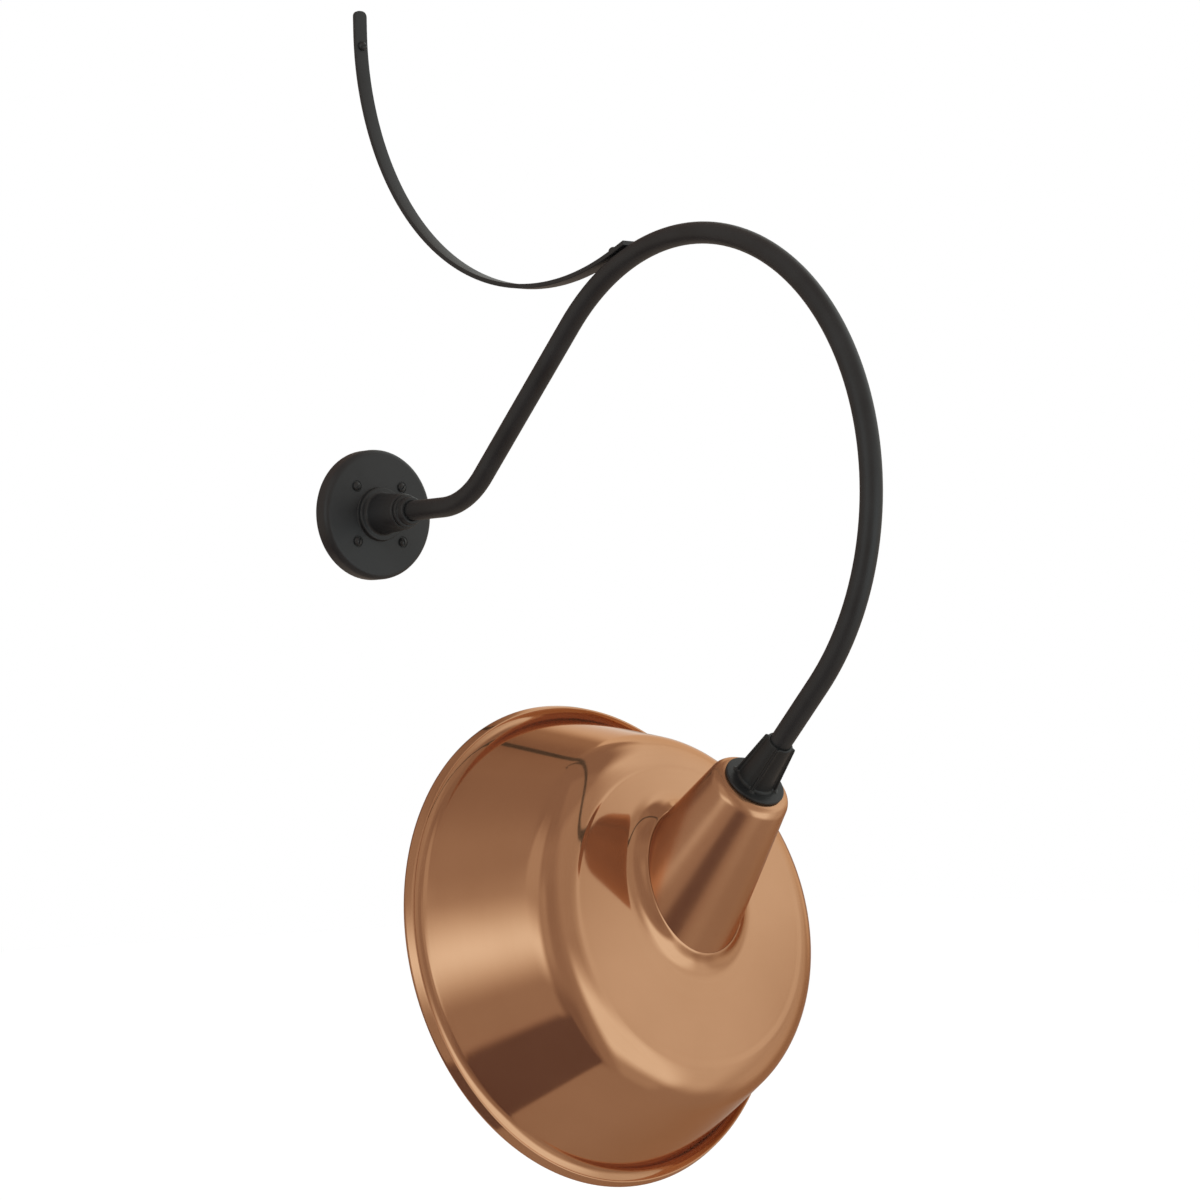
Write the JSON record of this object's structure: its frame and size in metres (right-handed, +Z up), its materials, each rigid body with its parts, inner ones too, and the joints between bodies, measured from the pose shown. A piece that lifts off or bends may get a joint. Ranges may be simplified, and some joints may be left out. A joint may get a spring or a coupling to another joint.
{
  "type": "gooseneck wall sconce",
  "caption": "Wall sconce: a bent pipe arm on a round plate, braced by a curved flat strap, carries an angled spun copper shade with a tapered neck.",
  "frame": {"origin": "on the wall, at the centre of the backplate's back", "axes": "the wall is the plane Y = 0 and the sconce stands out of it along -Y; +Z is up; the arm and the strap lie in the plane X = 0"},
  "size_m": [0.4811, 0.7951, 1.2296],
  "materials": {
    "black_coat": "matte black powder coat",
    "fasteners": "black painted screws",
    "copper": "polished copper",
    "steel": "zinc-plated steel",
    "brass": "plain brass",
    "porcelain": "white glazed porcelain",
    "frosted_glass": "frosted white",
    "foam": "black closed-cell foam",
    "lead_black": "black insulation",
    "lead_white": "white insulation",
    "lead_green": "green insulation"
  },
  "bodies": {
    "wall_assembly": {"backplate": "black_coat", "wall_gasket": "foam", "plate_screw_1": "fasteners", "plate_screw_2": "fasteners", "plate_screw_3": "fasteners", "plate_screw_4": "fasteners", "arm_collar": "black_coat", "collar_set_screw": "fasteners", "gooseneck_arm": "black_coat", "support_strap": "black_coat", "strap_wall_screw": "fasteners", "strap_arm_screw": "fasteners", "shade_hub": "black_coat", "hub_set_screw": "fasteners", "neck_lock_nut": "steel", "holder_stem": "steel", "holder_cap": "brass", "holder_body": "porcelain", "holder_shell": "brass", "holder_contact": "brass", "terminal_screw_a": "brass", "terminal_screw_b": "steel", "line_lead": "lead_black", "neutral_lead": "lead_white", "ground_lead": "lead_green", "ground_screw": "lead_green"},
    "shade_assembly": {"neck": "copper", "shade": "copper"},
    "lamp_tip": {"lamp_contact": "brass"},
    "lamp": {"lamp_base": "steel", "lamp_globe": "frosted_glass"}
  },
  "joints": [
    {"name": "shade_swivel", "type": "hinge", "parent": "wall_assembly", "child": "shade_assembly", "pos_m": [0, -0.61346, -0.29115], "axis": [0, -0.7218, 0.6921], "continuous": true},
    {"name": "lamp_travel", "type": "slide", "parent": "wall_assembly", "child": "lamp_tip", "axis": [0, 0.7218, -0.6921], "range_m": [0, 0.0182]},
    {"name": "lamp_turn", "type": "hinge", "parent": "lamp_tip", "child": "lamp", "pos_m": [0, -0.61346, -0.29115], "axis": [0, 0.7218, -0.6921], "range_deg": [0, 1800]}
  ],
  "couplings": [
    {"joint": "lamp_travel", "follows": "lamp_turn", "m_per_rad": 0.00057773}
  ]
}
